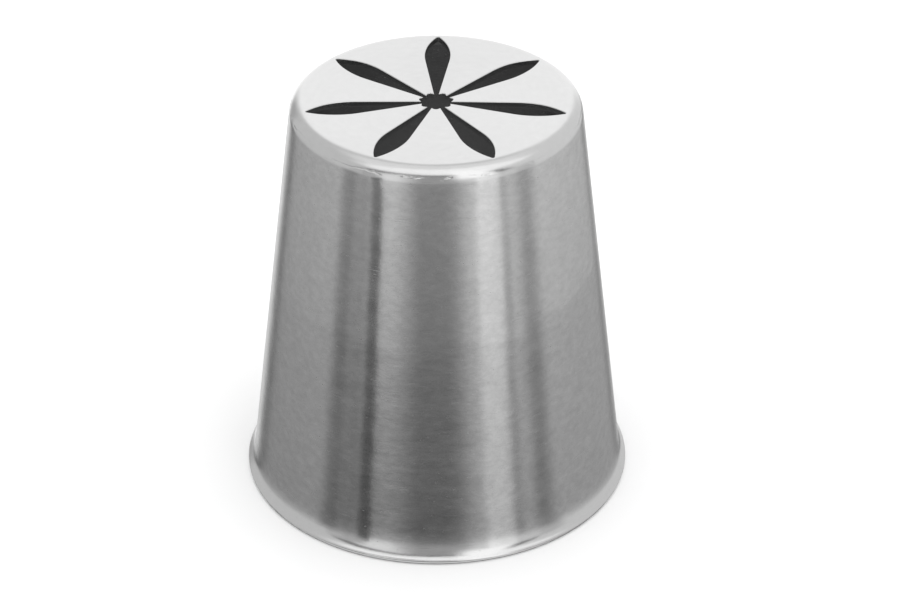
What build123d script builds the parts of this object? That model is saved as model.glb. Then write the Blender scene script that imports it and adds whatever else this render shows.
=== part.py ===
from build123d import *

import os
from math import cos, radians, sin, tan

# A piping nozzle for flowers: one cup drawn from a disc of stainless-steel sheet.
# It stands on its open rim with the flower face on top. Millimetres, +Z up,
# origin on the nozzle's axis, in the plane that the rim rests on.

# Body
nozzle_height = 34.4
rim_diameter = 32.2
sheet_thickness = 0.5
wall_taper = 6.6
corner_radius = 1.3

# Flared rim: the wall turns outward and ends in the trimmed edge of the sheet
flare_radius = 1.8
flare_angle = 50.0
rim_land_width = 0.2

# Face: a flat ring, inside which the tongues between the petals dip towards the centre
face_ring_width = 1.9
face_bend_radius = 5.0
dip_depth = 0.26

# Flower opening: petals that run into a scalloped centre hole. Their flanks would meet in a
# point just past the edge of the face's flat. The scallops' depth is beyond the hole's edge.
petal_count = 7
petal_bearing = 90.0
petal_point_length = 4.1
petal_overrun = 0.17
petal_point_radius = 0.12
petal_shoulder_width = 1.93
petal_neck_width = 0.36
centre_hole_radius = 1.22
scallop_radius = 0.3
scallop_depth = 0.16
cut_overrun = 0.3

# The edge of the sheet leans by the flare angle. Its upper corner sets the rim's diameter,
# and its lower corner is ground to the land that the nozzle stands on.
flare_turn = radians(flare_angle)
edge_corner_height = (sheet_thickness - rim_land_width * cos(flare_turn)) * sin(flare_turn)

# The wall's line and the face's line meet where the drawn corner would be sharp. The section
# of the sheet ends inside the centre hole, clear of the axis that it turns about.
section_end_share = 0.5
section_end = (section_end_share * centre_hole_radius, nozzle_height - dip_depth)

with BuildPart() as nozzle_shell:

    # Section of the sheet: its outer line, from the rim's edge up the wall and in over the
    # face, and the inner line that follows it one sheet thickness away
    with BuildSketch(Plane.XZ) as sheet_section:
        with BuildLine() as sheet_line:
            flare = JernArc(
                start=(rim_diameter / 2, edge_corner_height),
                tangent=(-sin(flare_turn), cos(flare_turn)),
                radius=flare_radius,
                arc_size=wall_taper - flare_angle,
            )
            wall = PolarLine(
                start=flare @ 1,
                length=nozzle_height - (flare @ 1).Y,
                direction=flare % 1,
                length_mode=LengthMode.VERTICAL,
            )
            flat_radius = (wall @ 1).X - corner_radius * tan(radians(90 - wall_taper) / 2)
            face_ring = Line(wall @ 1, (flat_radius - face_ring_width, nozzle_height))
            Line(face_ring @ 1, section_end)
            fillet(sheet_line.vertices().filter_by(lambda v: Vector(v) == wall @ 1), corner_radius)
            fillet(sheet_line.vertices().filter_by(lambda v: Vector(v) == face_ring @ 1), face_bend_radius)
            offset(amount=sheet_thickness, side=Side.LEFT)
        make_face()
    revolve(axis=Axis.Z)

    # The ground land of the rim
    split(bisect_by=Plane.XY)

    # One petal along X: a straight flank from the neck to the shoulder, then an arc to the
    # point, which is rounded
    petal_reach = flat_radius + petal_overrun
    with BuildSketch(mode=Mode.PRIVATE) as petal:
        with BuildLine():
            flank = Line(
                (centre_hole_radius, petal_neck_width / 2),
                (petal_reach - petal_point_length, petal_shoulder_width / 2),
            )
            TangentArc(flank @ 1, (petal_reach, 0), tangent=flank % 1)
            Line((0, 0), flank @ 0)
            mirror(about=Plane.XZ)
        make_face()
        fillet(petal.vertices().sort_by(Axis.X)[-1], petal_point_radius)

    # The flower: the petals, the hole that they meet in and the hollow in the end of each tongue.
    # The cut starts above the face and ends below the tongues.
    scallop_centre = centre_hole_radius + scallop_depth - scallop_radius
    with BuildSketch(Plane.XY.offset(nozzle_height + cut_overrun)) as flower:
        Circle(centre_hole_radius)
        with PolarLocations(0, petal_count, start_angle=petal_bearing):
            add(petal.sketch)
        with PolarLocations(scallop_centre, petal_count, start_angle=petal_bearing + 180 / petal_count):
            Circle(scallop_radius)
    extrude(amount=-(sheet_thickness + dip_depth + 2 * cut_overrun), mode=Mode.SUBTRACT)

nozzle_shell.part.label = "nozzle_shell"

os.makedirs("parts", exist_ok=True)
export_step(nozzle_shell.part, "parts/nozzle_shell.step")
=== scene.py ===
from math import acos, atan2, cos, pi, radians, sin, sqrt, tan

import bmesh
import bpy
import numpy as np
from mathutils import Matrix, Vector


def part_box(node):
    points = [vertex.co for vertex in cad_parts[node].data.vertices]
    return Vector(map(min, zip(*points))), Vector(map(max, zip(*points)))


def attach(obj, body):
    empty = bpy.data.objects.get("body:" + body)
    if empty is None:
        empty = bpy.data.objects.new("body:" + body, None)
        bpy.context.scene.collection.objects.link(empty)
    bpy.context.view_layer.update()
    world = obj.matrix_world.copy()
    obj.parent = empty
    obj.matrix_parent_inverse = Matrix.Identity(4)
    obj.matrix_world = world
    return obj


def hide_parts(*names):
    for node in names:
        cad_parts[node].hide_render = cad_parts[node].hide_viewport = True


# The looks of a drawn stainless-steel nozzle for piping flowers. Metres, +Z up, origin on
# the nozzle's axis in the plane that its rim rests on, flower face on top.
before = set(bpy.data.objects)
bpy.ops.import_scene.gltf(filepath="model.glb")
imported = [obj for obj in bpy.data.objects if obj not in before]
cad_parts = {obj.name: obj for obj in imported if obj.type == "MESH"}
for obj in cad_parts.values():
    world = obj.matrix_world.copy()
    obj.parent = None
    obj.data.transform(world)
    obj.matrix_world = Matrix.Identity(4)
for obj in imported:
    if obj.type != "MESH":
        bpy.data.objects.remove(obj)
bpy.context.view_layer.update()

MM = 0.001

# Overall size, from the frame
_, shell_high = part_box("nozzle_shell")
height = shell_high.z
lip_radius = shell_high.x

# The sheet and its bends. The wall leads into the flare by a long soft bend.
thickness = 0.5 * MM
wall_tilt = radians(6.6)
corner_bend = 1.3 * MM
lead_bend = 6.0 * MM
lead_tilt = radians(11.6)
flare_bend = 1.32 * MM
flare_tilt = radians(57)
land_width = 0.2 * MM
lip_round = 0.09 * MM
land_round = 0.05 * MM

# The face: a flat ring, then tongues that dip towards the centre
ring_width = 1.9 * MM
dip = 0.26 * MM
dip_end_radius = 0.6 * MM
dip_bend_length = 1.6 * MM

# The flower opening, with its cut edges rounded above and below
petal_count = 7
petal_bearing = pi / 2
petal_overrun = 0.17 * MM
point_length = 4.1 * MM
point_radius = 0.12 * MM
shoulder_width = 1.93 * MM
neck_width = 0.36 * MM
hole_radius = 1.22 * MM
scallop_radius = 0.3 * MM
scallop_depth = 0.16 * MM
cut_round = 0.07 * MM
burr_round = 0.04 * MM

# Fineness of the mesh
bend_step = radians(4)
least_bend_steps = 3
wall_rows = 40
middle_columns = 14
petal_rows = 34
outline_steps = 300
point_steps = 60

# Where rows and columns lie beside a cut, first as shares of its rounding, and where rows lie
# before and past the petals' points
round_shares = np.array([0, 0.06, 0.235, 0.5, 0.83, 1.07])
beside_cut = np.array([0.11, 0.18, 0.29]) * MM
before_point = np.array([0.8, 0.5, 0.32, 0.2, 0.12, 0.075, 0.04, 0.016, 0.004, 0.0]) * MM
past_point = np.array([0.012, 0.035]) * MM

# How far the scallops shape the rows, how far below the face the columns become even, how
# near the floor the inside's rows may come, and how near two corners are to be one
scallop_fade = 0.9 * MM
even_depth = 4 * MM
inner_clearance = 0.02 * MM
weld_distance = 0.0005 * MM


# Section of the sheet. A tilt is how far a normal leans up from the level.

def arc(centre, radius, start, end):
    """Points and outward normals round an arc in the section, by the tilt of the normal."""
    count = max(least_bend_steps, round(abs(end - start) / bend_step))
    tilts = np.linspace(start, end, count + 1)
    normals = np.stack([np.cos(tilts), np.sin(tilts)], -1)
    return np.array(centre) + radius * normals, normals


lip_height = (thickness - land_width * cos(flare_tilt)) * sin(flare_tilt)
lip = np.array([lip_radius, lip_height])
flare_centre = lip + flare_bend * np.array([cos(flare_tilt), sin(flare_tilt)])
lead_centre = flare_centre + (lead_bend - flare_bend) * np.array([cos(lead_tilt), sin(lead_tilt)])
foot = lead_centre - lead_bend * np.array([cos(wall_tilt), sin(wall_tilt)])
apex_radius = foot[0] - (height - foot[1]) * tan(wall_tilt)
flat_radius = apex_radius - corner_bend * tan((pi / 2 - wall_tilt) / 2)
ring_inner = flat_radius - ring_width


def face_height(radius):
    """Height of the upper side: shallow cone, soft bend, flat ring, start of the corner."""
    radius = np.asarray(radius, float)
    slope = dip / (ring_inner - dip_end_radius)
    inward = ring_inner - radius
    half = dip_bend_length / 2
    bend = np.clip((inward + half) / (2 * half), 0, 1)
    fall = slope * np.where(inward > half, inward, bend ** 2 * half)
    past = np.clip(radius - flat_radius, 0, corner_bend)
    return height - fall - (corner_bend - np.sqrt(corner_bend ** 2 - past ** 2))


# The flower's outline, in the petal's own plan: x along the petal

sector = 2 * pi / petal_count
petal_reach = flat_radius + petal_overrun
neck = np.array([sqrt(hole_radius ** 2 - (neck_width / 2) ** 2), neck_width / 2])
shoulder = np.array([petal_reach - point_length, shoulder_width / 2])
flank_length = np.linalg.norm(shoulder - neck)
flank_along = (shoulder - neck) / flank_length
flank_across = np.array([flank_along[1], -flank_along[0]])
chord = np.array([petal_reach, 0.0]) - shoulder
bow_radius = chord @ chord / (2 * chord @ flank_across)
bow_centre = shoulder + flank_across * bow_radius
point_x = bow_centre[0] + sqrt((bow_radius - point_radius) ** 2 - bow_centre[1] ** 2)
point_bearing = atan2(-bow_centre[1], point_x - bow_centre[0])
petal_end = point_x + point_radius
scallop_x = hole_radius + scallop_depth - scallop_radius


def petal_half_angles(radii):
    """Half the angle that a petal takes up at each radius from the nozzle's axis."""
    start = atan2(shoulder[1] - bow_centre[1], shoulder[0] - bow_centre[0])
    turns = np.linspace(start, point_bearing, outline_steps)
    bow = bow_centre + bow_radius * np.stack([np.cos(turns), np.sin(turns)], -1)
    flank = neck + (shoulder - neck) * np.linspace(0, 1, outline_steps)[:, None]
    turns = np.linspace(point_bearing, 0, point_steps)
    point = np.array([point_x, 0.0]) + point_radius * np.stack([np.cos(turns), np.sin(turns)], -1)
    line = np.concatenate([flank, bow[1:], point[1:]])
    distance = np.hypot(line[:, 0], line[:, 1])
    return np.interp(radii, distance, np.arctan2(line[:, 1], line[:, 0]), right=0.0)


def petal_distance(x, y):
    """Distance in plan from a petal's outline, outside it."""
    y = np.abs(y)
    along = np.clip((x - neck[0]) * flank_along[0] + (y - neck[1]) * flank_along[1], 0, flank_length)
    to_flank = np.hypot(x - neck[0] - along * flank_along[0], y - neck[1] - along * flank_along[1])
    to_bow = np.abs(np.hypot(x - bow_centre[0], y - bow_centre[1]) - bow_radius)
    to_point = np.hypot(x - point_x, y) - point_radius
    bearing = np.arctan2(y - bow_centre[1], x - bow_centre[0])
    return np.where(bearing < point_bearing, to_point, np.where(x >= shoulder[0], to_bow, to_flank))


def tongue_end(turn):
    """Radius of a tongue's end at each angle from its middle: the hole, or the scallop in it."""
    across = scallop_x * np.sin(turn)
    inside = scallop_radius ** 2 - across ** 2
    reach = scallop_x * np.cos(turn) + np.sqrt(np.clip(inside, 0, None))
    return np.where(inside > 0, np.maximum(reach, hole_radius), hole_radius)


# Mesh of the shell: one grid for each tongue, from petal to petal, carried on round the rim

margins = np.concatenate([round_shares * cut_round, beside_cut])
column_count = 2 * len(margins) + middle_columns


def smooth(value):
    value = np.clip(value, 0, 1)
    return value * value * (3 - 2 * value)


def column_angles(radius, evenness):
    """Angles across one tongue at a radius, dense beside the petals unless made even."""
    left = petal_half_angles(radius) + margins / radius
    inner = np.linspace(left[-1], sector - left[-1], middle_columns + 2)[1:-1]
    dense = np.concatenate([left, inner, sector - left[::-1]])
    even = np.linspace(0, sector, column_count)
    return dense * (1 - evenness) + even * evenness


def face_rows():
    """Radii of the rows across the face, dense at the hole and at the petals' points, and how
    many of them cross the petals."""
    at_hole = hole_radius + margins
    at_point = petal_end - before_point
    between = np.linspace(at_hole[-1], at_point[0], petal_rows)[1:-1]
    crossing = np.concatenate([at_hole, between, at_point])
    return np.concatenate([crossing, petal_end + past_point]), len(crossing)


def face_grid(radii_of_rows):
    """Rows of points in plan over one tongue, and how far each point is from the nearest cut."""
    scallop_at = np.array([cos(sector / 2), sin(sector / 2)]) * scallop_x
    rows = []
    for radius in radii_of_rows:
        angles = column_angles(radius, 0.0)
        fade = 1 - smooth((radius - hole_radius) / scallop_fade)
        radii = radius + (tongue_end(angles - sector / 2) - hole_radius) * fade
        x = radii * np.cos(angles)
        y = radii * np.sin(angles)
        to_first = petal_distance(x, y)
        to_second = petal_distance(radii * np.cos(angles - sector), radii * np.sin(angles - sector))
        to_scallop = np.hypot(x - scallop_at[0], y - scallop_at[1]) - scallop_radius
        to_hole = np.minimum(radii - hole_radius, to_scallop)
        away = np.clip(np.minimum(np.minimum(to_first, to_second), to_hole), 0, None)
        rows.append((x, y, radii, away))
    return rows


def rounded_drop(away, radius):
    """How far a rounded edge falls below its face, by the distance from the cut."""
    inward = np.clip(radius - away, 0, radius)
    return radius - np.sqrt(np.clip(radius ** 2 - inward ** 2, 0, None))


def section_rows(start_radius):
    """The section from the face's last row over the corner, wall, flare and lip, and back up
    the inside."""
    start = acos((start_radius - flat_radius) / corner_bend)
    corner_centre = (flat_radius, height - corner_bend)
    corner, corner_normals = arc(corner_centre, corner_bend, start, wall_tilt)
    steps = np.linspace(0, 1, wall_rows + 2)[1:-1, None]
    wall = corner[-1] * (1 - steps) + foot * steps
    wall_normals = np.tile([cos(wall_tilt), sin(wall_tilt)], (len(wall), 1))
    lead, lead_normals = arc(lead_centre, -lead_bend, wall_tilt, lead_tilt)
    flare, flare_normals = arc(flare_centre, -flare_bend, lead_tilt, flare_tilt)
    outer = np.concatenate([corner[1:], wall, lead[:-1], flare])
    normals = [corner_normals[1:], wall_normals, lead_normals[:-1], flare_normals]
    inner = outer - thickness * np.concatenate(normals)
    inner = inner[(inner[:, 0] > start_radius) & (inner[:, 1] > inner_clearance)]

    # The trimmed edge of the sheet: rounded at its upper corner, ground to a land at its lower
    edge_down = np.array([sin(flare_tilt), -cos(flare_tilt)])
    edge_centre = flare[-1] - lip_round * flare_normals[-1] - lip_round * edge_down
    edge = arc(edge_centre, lip_round, flare_tilt, flare_tilt - pi / 2)[0]
    land_outer = lip_radius - lip_height / tan(flare_tilt)
    setback = land_round * tan(flare_tilt / 2)
    land_centre = (land_outer - setback, land_round)
    land = arc(land_centre, land_round, flare_tilt - pi / 2, -pi / 2)[0]
    land_end = np.array([[land_outer - land_width, 0.0]])
    return np.concatenate([outer[:-1], edge, land, land_end, inner[::-1]])


def build_shell():
    """The nozzle as one closed sheet with rounded cuts, in the frame's place."""
    rows, crossing = face_rows()
    plan = face_grid(rows)
    loop = section_rows(rows[-1])
    vertices = []
    faces = []
    for index in range(petal_count):
        turn = petal_bearing + index * sector
        grid = []

        def add_row(x, y, z):
            start = len(vertices)
            turned_x = cos(turn) * x - sin(turn) * y
            turned_y = sin(turn) * x + cos(turn) * y
            heights = np.broadcast_to(z, x.shape)
            vertices.extend(zip(turned_x.tolist(), turned_y.tolist(), heights.tolist()))
            grid.append(range(start, start + column_count))

        for x, y, radii, away in plan:
            add_row(x, y, face_height(radii) - rounded_drop(away, cut_round))
        for radius, level in loop:
            angles = column_angles(max(radius, petal_end), smooth((height - level) / even_depth))
            add_row(radius * np.cos(angles), radius * np.sin(angles), level)
        for x, y, radii, away in reversed(plan):
            add_row(x, y, face_height(radii) - thickness + rounded_drop(away, burr_round))

        # The sheet's two sides, the end of the tongue and the walls of the petals
        for upper, lower in zip(grid, grid[1:] + grid[:1]):
            for k in range(column_count - 1):
                faces.append((upper[k], lower[k], lower[k + 1], upper[k + 1]))
        for row in range(crossing - 1):
            for k in (0, column_count - 1):
                faces.append((grid[row][k], grid[row + 1][k], grid[-row - 2][k], grid[-row - 1][k]))
    mesh = bpy.data.meshes.new("nozzle_skin")
    mesh.from_pydata(vertices, [], faces)
    return mesh


def weld(mesh):
    """Joins the tongues' grids into one shell, shaded smooth."""
    made = bmesh.new()
    made.from_mesh(mesh)
    bmesh.ops.remove_doubles(made, verts=made.verts, dist=weld_distance)
    bmesh.ops.recalc_face_normals(made, faces=made.faces)
    made.to_mesh(mesh)
    made.free()
    mesh.shade_smooth()


skin = build_shell()
weld(skin)
shell = bpy.data.objects.new("nozzle_skin", skin)
bpy.context.scene.collection.objects.link(shell)
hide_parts("nozzle_shell")
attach(shell, "root")


class Nodes:
    """Short ways to add nodes to a material or a world."""

    def __init__(self, owner):
        owner.use_nodes = True
        self.tree = owner.node_tree
        self.tree.nodes.clear()

    def add(self, kind, **settings):
        node = self.tree.nodes.new(kind)
        for name, value in settings.items():
            setattr(node, name, value)
        return node

    def link(self, source, target):
        self.tree.links.new(source, target)

    def set(self, socket, value):
        if isinstance(value, bpy.types.NodeSocket):
            self.link(value, socket)
        else:
            socket.default_value = value

    def math(self, operation, *values):
        node = self.add("ShaderNodeMath", operation=operation)
        for socket, value in zip(node.inputs, values):
            self.set(socket, value)
        return node.outputs[0]

    def plus(self, total, *others):
        for other in others:
            total = self.math("ADD", total, other)
        return total

    def minus(self, first, second):
        return self.math("SUBTRACT", first, second)

    def times(self, first, second):
        return self.math("MULTIPLY", first, second)

    def ramp(self, value, low, high, low_out=0.0, high_out=1.0, smoothly=True):
        kind = "SMOOTHSTEP" if smoothly else "LINEAR"
        node = self.add("ShaderNodeMapRange", interpolation_type=kind)
        for socket, item in zip(node.inputs, (value, low, high, low_out, high_out)):
            self.set(socket, item)
        return node.outputs[0]

    def mix(self, factor, first, second):
        node = self.add("ShaderNodeMix", data_type="FLOAT")
        self.set(node.inputs[0], factor)
        self.set(node.inputs[2], first)
        self.set(node.inputs[3], second)
        return node.outputs[0]

    def split(self, vector):
        node = self.add("ShaderNodeSeparateXYZ")
        self.link(vector, node.inputs[0])
        return node.outputs

    def grey(self, level):
        node = self.add("ShaderNodeCombineColor")
        for socket in node.inputs[:3]:
            self.link(level, socket)
        return node.outputs[0]


# The steel. Heights above the floor, lengths and relief are in millimetres. A pair says where
# something begins and where it is complete.

# Noises: how long their lumps are round the nozzle and along its section, how detailed they
# are, and a shift that keeps them apart
grains = {
    "brushing": (2.4, 0.09, 3.0, 0.0),
    "mottle": (0.2, 0.16, 2.0, 7.0),
    "cloud": (0.75, 0.6, 2.0, 11.0),
    "blotch": (3.2, 1.8, 3.0, 19.0),
    "wave": (5.0, 4.5, 1.0, 31.0),
    "pits": (0.24, 0.12, 0.0, 53.0),
    "lines": (1.8, 0.07, 0.0, 61.0),
    "ragged": (6.0, 2.5, 5.0, 43.0),
    "crease_wander": (1.2, 60.0, 5.0, 71.0),
    "crease_parts": (1.7, 60.0, 2.0, 83.0),
}
noise_middle = 0.5

# The forming lines stretch what the steel mirrors across them
anisotropy = 0.9
anisotropy_turn = 0.25

# The satin wall, between the smooth bends, and how much of the satin the bends have
satin_from_foot = (0.9, 2.2)
satin_from_corner = (33.5, 32.9)
bend_texture = 0.25
bend_roughness = 0.75

# Pits and fine lines, where the noise is strong; none on the face
pit_strength = (0.80, 0.86)
line_strength = (0.79, 0.85)
line_share = 0.6
marks_from_corner = (33.9, 33.3)
marks_dulling = 0.18
marks_roughness = 0.15
marks_depth = 0.0015

# The darker lower half: the ragged edge that it begins at sinks towards the nozzle's right
ragged_height = 4.0
right_side = (4.0, 11.0)
right_drop = 1.4
lower_edge = (19.6, 18.8)
lower_darkening = (0.03, 0.11)

# Painted shade: the steel's colour is darker at the wall's foot than at its top, for the shadowed floor
# that the foot would mirror, and goes back to the top's colour at the flare
painted_shade_heights = (2.0, 30.0)
painted_shade_levels = (0.60, 0.74)
flare_heights = (2.2, 1.0)
shine_texture = {"mottle": 0.09, "cloud": 0.20}

roughness = 0.205
roughness_texture = {"blotch": 0.08, "brushing": 0.02}

relief_texture = {"brushing": 0.0004, "mottle": 0.0012, "cloud": 0.0022, "blotch": 0.005, "wave": 0.025}

# Below the ragged edge the wall leans out by a slope that comes on softly
lean_from = 19.4
lean_evenness = 0.6
lean_softness = 0.7
lean_slope = 0.018

# Just above the flare the wall spreads, by a slope that grows down to a limit
spread_from = 2.8
spread_growth = 1.5
spread_slope = 0.055

# A faint crease under the corner that wanders, and comes and goes
crease_height = 33.69
crease_wander = 0.6
crease_profile = (0.10, 0.0)
crease_strength = (0.44, 0.58)
crease_depth = 0.022


def steel():
    """Satin drawn stainless steel: the forming lines run round the nozzle."""
    material = bpy.data.materials.new("stainless_sheet")
    n = Nodes(material)
    out = n.add("ShaderNodeOutputMaterial")
    bsdf = n.add("ShaderNodeBsdfPrincipled")
    n.link(bsdf.outputs[0], out.inputs[0])
    bsdf.inputs["Metallic"].default_value = 1.0
    bsdf.inputs["Anisotropic"].default_value = anisotropy
    bsdf.inputs["Anisotropic Rotation"].default_value = anisotropy_turn
    tangent = n.add("ShaderNodeTangent", direction_type="RADIAL", axis="Z")
    n.link(tangent.outputs[0], bsdf.inputs["Tangent"])

    # The place in millimetres, and how far it is along the section
    scaled = n.add("ShaderNodeVectorMath", operation="SCALE")
    n.link(n.add("ShaderNodeTexCoord").outputs["Object"], scaled.inputs[0])
    scaled.inputs["Scale"].default_value = 1 / MM
    x, y, z = n.split(scaled.outputs[0])
    radius = n.math("SQRT", n.plus(n.times(x, x), n.times(y, y)))
    along = n.minus(radius, z)

    def grain(round_length, along_length, detail, shift):
        vector = n.add("ShaderNodeCombineXYZ")
        n.link(n.math("DIVIDE", x, round_length), vector.inputs[0])
        n.link(n.math("DIVIDE", y, round_length), vector.inputs[1])
        n.link(n.plus(n.math("DIVIDE", along, along_length), shift), vector.inputs[2])
        noise = n.add("ShaderNodeTexNoise")
        n.link(vector.outputs[0], noise.inputs["Vector"])
        noise.inputs["Scale"].default_value = 1.0
        noise.inputs["Detail"].default_value = detail
        return noise.outputs[0]

    noises = {name: grain(*sizes) for name, sizes in grains.items()}

    def uneven(name, amount):
        """A noise about zero, this strong."""
        return n.times(n.minus(noises[name], noise_middle), amount)

    right = n.ramp(x, *right_side)
    level = n.minus(n.plus(z, uneven("ragged", ragged_height)), n.times(right, right_drop))
    lower = n.ramp(level, *lower_edge)
    wall = n.times(n.ramp(z, *satin_from_foot), n.ramp(z, *satin_from_corner))
    pits = n.ramp(noises["pits"], *pit_strength)
    lines = n.ramp(noises["lines"], *line_strength)
    marks = n.math("MAXIMUM", pits, n.times(lines, line_share))
    marks = n.times(marks, n.ramp(z, *marks_from_corner))

    # Painted shade: darker towards the wall's foot, back to the top's colour at the flare
    tone_and_shade = n.ramp(z, *painted_shade_heights, *painted_shade_levels, smoothly=False)
    tone_and_shade = n.mix(n.ramp(z, *flare_heights), tone_and_shade, painted_shade_levels[1])
    texture = n.plus(*(uneven(name, amount) for name, amount in shine_texture.items()))
    tone_and_shade = n.plus(tone_and_shade, n.times(texture, n.mix(wall, bend_texture, 1.0)))
    tone_and_shade = n.times(tone_and_shade, n.minus(1.0, n.times(marks, marks_dulling)))
    tone_and_shade = n.times(tone_and_shade, n.minus(1.0, n.times(lower, n.mix(right, *lower_darkening))))
    n.link(n.grey(tone_and_shade), bsdf.inputs["Base Color"])

    rough = n.plus(roughness, *(uneven(name, amount) for name, amount in roughness_texture.items()))
    rough = n.plus(rough, n.times(marks, marks_roughness))
    n.link(n.times(rough, n.mix(wall, bend_roughness, 1.0)), bsdf.inputs["Roughness"])

    relief = n.plus(*(uneven(name, amount) for name, amount in relief_texture.items()))
    relief = n.minus(relief, n.times(marks, marks_depth))
    below = n.math("MAXIMUM", n.minus(lean_from, n.mix(lean_evenness, level, z)), 0.0)
    below = n.math("DIVIDE", n.times(below, below), n.plus(below, lean_softness))
    relief = n.minus(relief, n.times(below, lean_slope))
    spread = n.math("MAXIMUM", n.minus(spread_from, z), 0.0)
    growing = n.math("MINIMUM", spread, spread_growth)
    spread = n.times(n.minus(spread, n.times(growing, 0.5)), growing)
    relief = n.plus(relief, n.times(spread, spread_slope))
    off = n.minus(n.plus(z, uneven("crease_wander", crease_wander)), crease_height)
    crease = n.ramp(n.math("ABSOLUTE", off), *crease_profile)
    crease = n.times(crease, n.ramp(noises["crease_parts"], *crease_strength))
    relief = n.minus(relief, n.times(crease, crease_depth))
    bump = n.add("ShaderNodeBump")
    bump.inputs["Distance"].default_value = MM
    n.link(relief, bump.inputs["Height"])
    n.link(bump.outputs[0], bsdf.inputs["Normal"])
    return material


shell.data.materials.append(steel())


# Floor, light and camera

floor_radius = 3.0
floor_drop = 0.03 * MM
floor_tone = 0.86
patch_radius = 15.9 * MM
patch_drop = 0.02 * MM
patch_glow = 0.08
disc_corners = 96


def lay_floor(name, radius, drop, kind, tone, mirrored):
    """A round patch of floor, level with the rim but for a hair."""
    material = bpy.data.materials.new("hollow_glow" if mirrored else "pale_floor")
    n = Nodes(material)
    out = n.add("ShaderNodeOutputMaterial")
    surface = n.add(kind)
    surface.inputs["Color"].default_value = (tone, tone, tone, 1)
    n.link(surface.outputs[0], out.inputs[0])
    bpy.ops.mesh.primitive_circle_add(
        vertices=disc_corners, radius=radius, fill_type="NGON", location=(0, 0, -drop))
    disc = bpy.context.object
    disc.name = name
    disc.data.materials.append(material)
    disc.visible_glossy = mirrored


# The studio. Angles in degrees: a side is measured round from the camera's side towards +X,
# and a height up from the horizon. Each soft card has its side, its height, half its width
# and half its height, the softness of its upright and of its level edges, and its
# brightness. A later card hides an earlier one.
cards = [
    ("left_side", -90, 20, 64, 44, 12, 10, 0.64),
    ("right_side", 90, 20, 68, 44, 12, 10, 0.77),
    ("back_wall", 180, 12, 26, 36, 9, 12, 1.09),
    ("left_gap_top", -144, 2, 7, 14, 5, 12, 0.45),
    ("overhead", 0, 90, 180, 34, 1, 8, 0.88),
    ("camera_top", 12, 66, 86, 23, 18, 6, 1.15),
]

# In front of the oval frame
front_cards = [
    ("key", 31, 42, 15, 27, 7, 12, 1.27),
    ("left_line", -42.9, -20, 4.1, 14, 1.8, 6, 0.02),
    ("left_line_foot", -38.8, -46, 4.4, 14, 2.2, 6, 0.03),
    ("left_line_top", -46, 0, 5, 14, 3, 5, 0.50),
    ("right_line", 52.5, -32, 2.2, 14, 1.5, 4, 0.22),
    ("right_edge", 49.6, -36, 0.6, 20, 0.8, 4, 0.30),
    ("right_strip_top", 57, 2, 7, 16, 4, 6, 0.72),
    ("right_flag_top", 70, 1, 7, 17, 5, 6, 0.58),
    ("middle_top", 5, -8, 15, 6, 9, 4, 0.42),
]

# Upright bands that stand round the table: side, half the width, softness and brightness
bands = [
    ("left", -95, 62, 6, 0.43),
    ("right", 105, 60, 6, 0.57),
    ("back_left", -174, 21, 6, 1.15),
    ("back_right", 181, 15, 5, 0.95),
    ("left_gap", -140, 5, 4, 0.20),
    ("right_gap", 155, 5, 5, 0.30),
    ("left_flag", -66, 6.5, 4, 0.15),
    ("left_strip", -55, 6, 3, 0.26),
    ("left_panel", -34, 8.3, 7.5, 0.45),
    ("middle_flag", -1, 17, 11, 0.19),
    ("right_glow", 34, 13, 8, 0.50),
    ("right_panel", 39, 9, 3, 0.76),
    ("right_strip", 59, 4, 2.5, 0.52),
    ("right_flag", 70, 6, 5, 0.22),
]
between_bands = 0.4
between_cards = 0.4

# The bands darken towards the nozzle's foot, most of all on the camera's side
foot_heights = (-27, -14)
foot_strengths = (0.15, 2.0)
near_side = -15
near_half_widths = (60, 20)
far_share = 0.25

# The frame over the camera: an oval through which the bands go on up, with a thin edge that
# is dark at the top. The edge lies between two sizes of the oval.
oval_centre = -6
oval_half_width = 64
oval_half_height = 52
oval_squareness = 3.0
oval_outer_edge = (1.12, 1.0)
oval_inner_edge = (0.66, 0.48)
edge_heights = (12, 26)
edge_levels = (0.55, 0.18)

# Below the horizon the bands go all round, down to a pale table
horizon_heights = (-4, -22)
table_heights = (-62, -46)
table_level = 0.75

# What the camera sees behind the nozzle, and a wide soft light for the floor alone
backdrop = 0.95
floor_light_strength = 1.7
floor_light_angle = radians(100)


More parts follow.
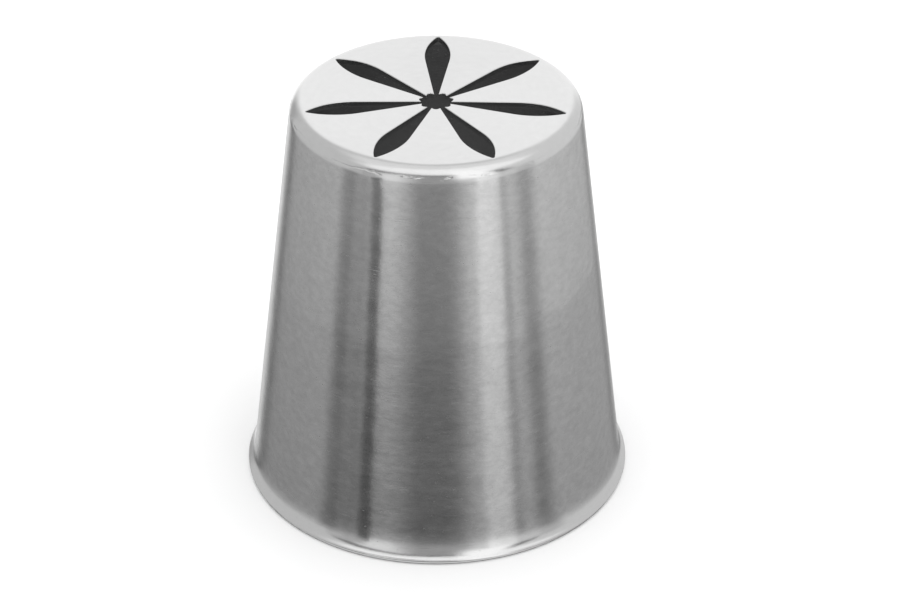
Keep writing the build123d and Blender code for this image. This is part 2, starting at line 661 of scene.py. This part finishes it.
def studio():
    world = bpy.data.worlds.new("studio")
    bpy.context.scene.world = world
    n = Nodes(world)
    out = n.add("ShaderNodeOutputWorld")
    background = n.add("ShaderNodeBackground")
    n.link(background.outputs[0], out.inputs[0])
    x, y, z = n.split(n.add("ShaderNodeTexCoord").outputs["Generated"])
    side = n.math("ARCTAN2", x, n.times(y, -1.0))
    rise = n.math("ARCSINE", z)

    def turn_ramp(angle, degrees, *levels, **settings):
        return n.ramp(angle, radians(degrees[0]), radians(degrees[1]), *levels, **settings)

    def within(angle, half_size, soft):
        return turn_ramp(n.math("ABSOLUTE", angle), (half_size + soft, half_size - soft))

    def beside(azimuth, half_width, soft):
        return within(n.math("WRAP", n.minus(side, radians(azimuth)), pi, -pi), half_width, soft)

    def lay(level, azimuth, elevation, half_width, half_height, soft_across, soft_along, brightness):
        along = within(n.minus(rise, radians(elevation)), half_height, soft_along)
        return n.mix(n.times(beside(azimuth, half_width, soft_across), along), level, brightness)

    around = between_bands
    for _, azimuth, half_width, soft, brightness in bands:
        around = n.mix(beside(azimuth, half_width, soft), around, brightness)
    darker = turn_ramp(rise, foot_heights, *foot_strengths, smoothly=False)
    near = n.math("ABSOLUTE", n.minus(side, radians(near_side)))
    near = turn_ramp(near, near_half_widths, far_share, 1.0)
    around = n.times(around, n.mix(near, 1.0, darker))

    level = between_cards
    for _, *card in cards:
        level = lay(level, *card)

    def share(angle, half_size):
        """How much of the way out an angle is. On the oval the two shares add up to 1."""
        out_by = n.math("ABSOLUTE", n.math("DIVIDE", angle, radians(half_size)))
        return n.math("POWER", out_by, oval_squareness)

    above = n.minus(rise, radians(oval_centre))
    oval = n.plus(share(side, oval_half_width), share(above, oval_half_height))
    edge = turn_ramp(rise, edge_heights, *edge_levels)
    level = n.mix(n.ramp(oval, *oval_outer_edge), level, edge)
    level = n.mix(n.ramp(oval, *oval_inner_edge), level, around)

    below = n.mix(turn_ramp(rise, table_heights), table_level, around)
    level = n.mix(turn_ramp(rise, horizon_heights), level, below)
    for _, *card in front_cards:
        level = lay(level, *card)

    seen = n.add("ShaderNodeMix", data_type="RGBA")
    n.link(n.add("ShaderNodeLightPath").outputs["Is Camera Ray"], seen.inputs[0])
    n.link(n.grey(level), seen.inputs[6])
    seen.inputs[7].default_value = (backdrop, backdrop, backdrop, 1)
    n.link(seen.outputs[2], background.inputs["Color"])

    sun = bpy.data.lights.new("floor_light", "SUN")
    sun.energy = floor_light_strength
    sun.angle = floor_light_angle
    lamp = bpy.data.objects.new("floor_light", sun)
    lamp.visible_glossy = False
    bpy.context.scene.collection.objects.link(lamp)


# The photograph's viewpoint, fitted to the outline: the camera's elevation, its turn, its
# distance from the point that it aims at, and that point's place
elevation = radians(32.2)
bearing = radians(0.7)
distance = 265.6 * MM
aim_right = 1.106 * MM
aim_height = 15.35 * MM
lens = 128
nearest_seen = 0.01


def camera():
    ahead = Vector((-sin(bearing), cos(bearing), 0))
    target = aim_right * Vector((cos(bearing), sin(bearing), 0)) + Vector((0, 0, aim_height))
    data = bpy.data.cameras.new("camera")
    data.lens = lens
    data.clip_start = nearest_seen
    eye = bpy.data.objects.new("camera", data)
    back_up = Vector((0, 0, distance * sin(elevation)))
    eye.location = target - distance * cos(elevation) * ahead + back_up
    eye.rotation_euler = (pi / 2 - elevation, 0, bearing)
    bpy.context.scene.collection.objects.link(eye)
    bpy.context.scene.camera = eye


# The wall and rim don't mirror the floor: the cards stand for what they would see there. The
# patch under the nozzle is mirrored and glows faintly, as the hollow does.
lay_floor("floor", floor_radius, floor_drop, "ShaderNodeBsdfDiffuse", floor_tone, False)
lay_floor("floor_under", patch_radius, patch_drop, "ShaderNodeEmission", patch_glow, True)
studio()
camera()
bpy.context.scene.view_settings.view_transform = "Standard"
